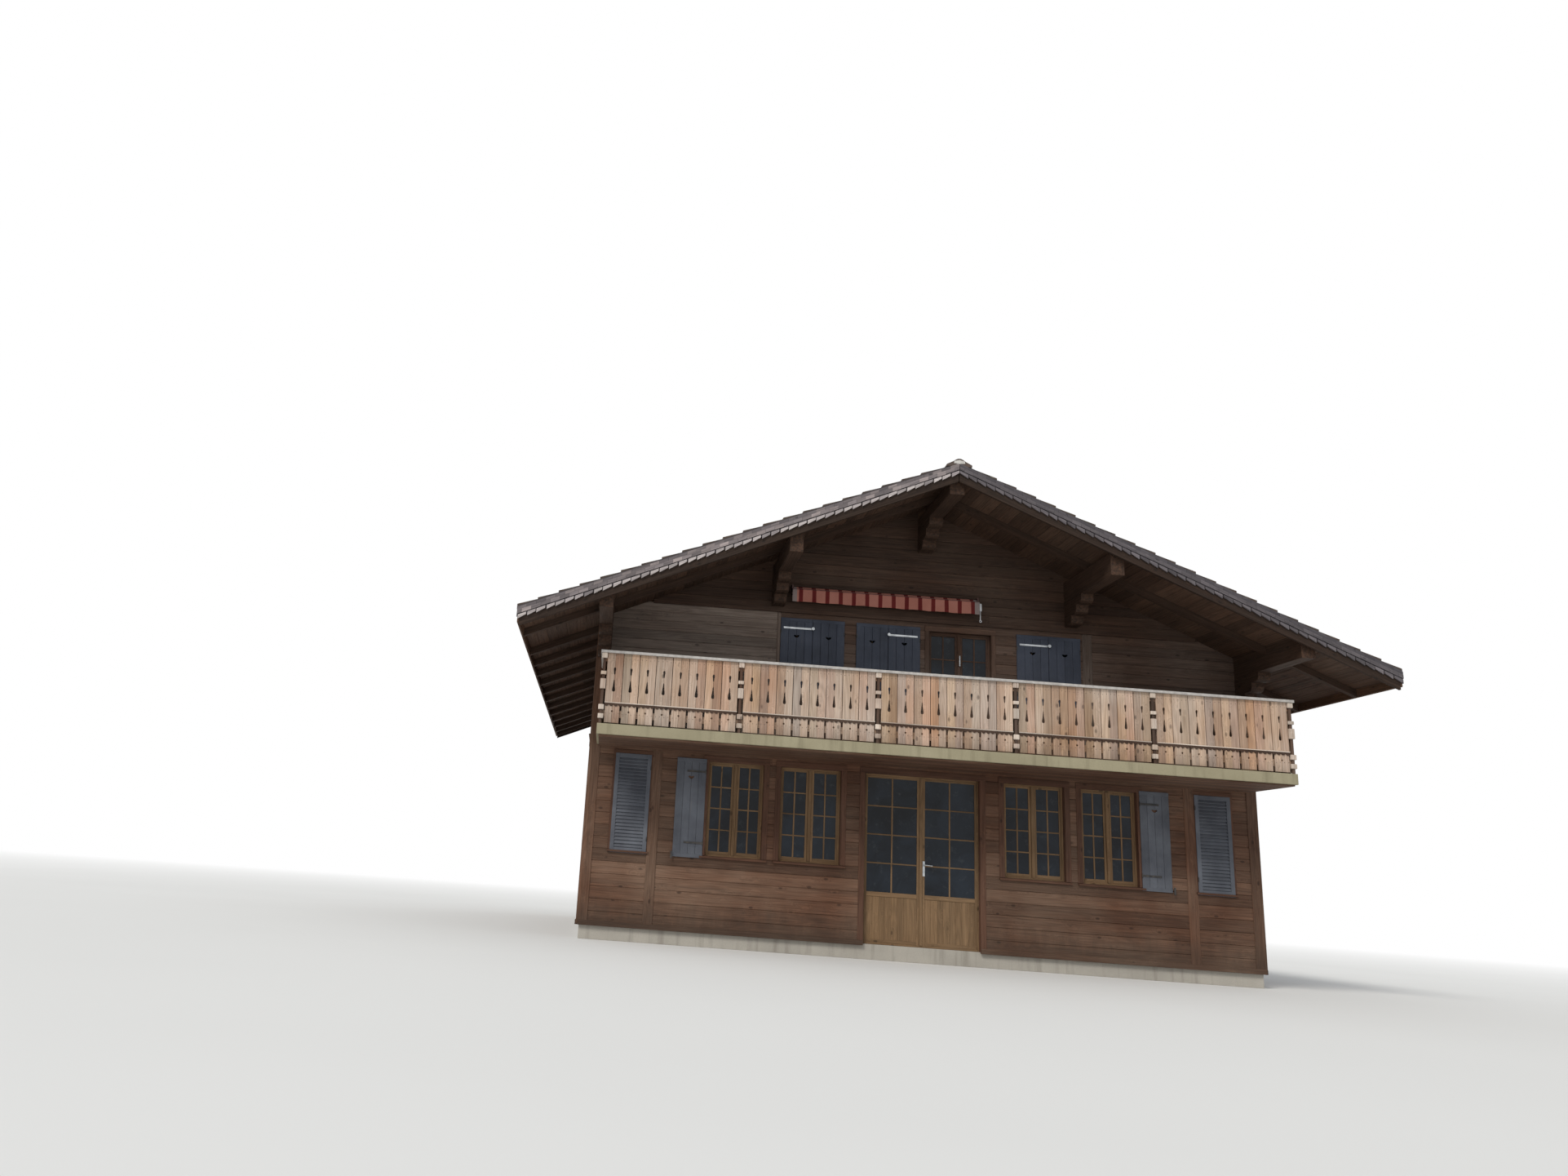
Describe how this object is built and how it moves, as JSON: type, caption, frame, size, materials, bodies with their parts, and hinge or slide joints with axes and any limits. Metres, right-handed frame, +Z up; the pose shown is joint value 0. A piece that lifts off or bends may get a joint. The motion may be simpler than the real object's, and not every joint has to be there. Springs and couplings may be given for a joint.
{
  "type": "alpine chalet",
  "caption": "Timber alpine chalet with a full-width sawn-board balcony, shuttered windows, a wound-in striped awning and a wide shallow gable roof.",
  "frame": {"origin": "on the ground, under the middle of the roof's outline", "axes": "+Z up, the balcony and the visible gable face -Y, the ridge runs along Y, +X is to the right seen from the front"},
  "size_m": [11.4, 11.96, 6.555],
  "materials": {
    "concrete": "pale cream concrete, fine and matt",
    "wall_wood": "brown stained boards, matt",
    "upper_wood": "weathered brown boards, matt",
    "gable_wood": "dark stained level boards, matt",
    "dark_timber": "dark stained structural timber, matt",
    "roof_tile": "grey-brown weathered roof covering, matt",
    "verge_trim": "pale weathered shingle edge, matt",
    "board_wood": "sun-bleached honey and grey boards, matt",
    "rail_cap": "pale grey, dull",
    "oak_frame": "light brown varnished frames, satin",
    "window_glass": "clear, dark behind",
    "shutter_paint": "blue-grey paint on boards, satin",
    "bright_metal": "bright fittings",
    "awning_cloth": "dark red and salmon stripes, matt cloth",
    "awning_metal": "pale grey paint"
  },
  "bodies": {
    "root": {"plinth": "concrete", "floor_slab": "concrete", "front_wall_ground_piers": "wall_wood", "front_wall_ground_aprons": "wall_wood", "front_wall_ground_head": "wall_wood", "left_wall_ground": "wall_wood", "right_wall_ground": "wall_wood", "back_wall_ground": "wall_wood", "belt_boards": "wall_wood", "balcony_soffit": "dark_timber", "front_wall_upper_piers": "upper_wood", "front_wall_upper_aprons": "upper_wood", "gable_front": "gable_wood", "left_wall_upper": "upper_wood", "right_wall_upper": "upper_wood", "back_wall_upper": "gable_wood", "ridge_purlin": "dark_timber", "mid_purlins": "dark_timber", "eave_purlins": "dark_timber", "purlin_consoles": "dark_timber", "rafters": "dark_timber", "roof_deck_left": "dark_timber", "roof_deck_right": "dark_timber", "roof_covering_left": "roof_tile", "roof_covering_right": "roof_tile", "ridge_cap": "roof_tile", "verge_trim": "verge_trim", "barge_boards": "wall_wood", "eaves_boards": "wall_wood", "balcony_posts": "board_wood", "balcony_panel_front": "board_wood", "balcony_panels_sides": "board_wood", "balcony_lath": "board_wood", "balcony_rail_cap": "rail_cap", "window_frames_front": "oak_frame", "window_frames_sides_back": "oak_frame", "glass_front": "window_glass", "glass_sides_back": "window_glass", "balcony_door": "dark_timber", "balcony_door_handle": "bright_metal", "shutters_front": "shutter_paint", "shutters_sides_back": "shutter_paint", "shutter_bars": "bright_metal", "awning_roll": "awning_cloth", "awning_frame": "awning_metal", "awning_valance": "awning_cloth"}
  },
  "joints": []
}
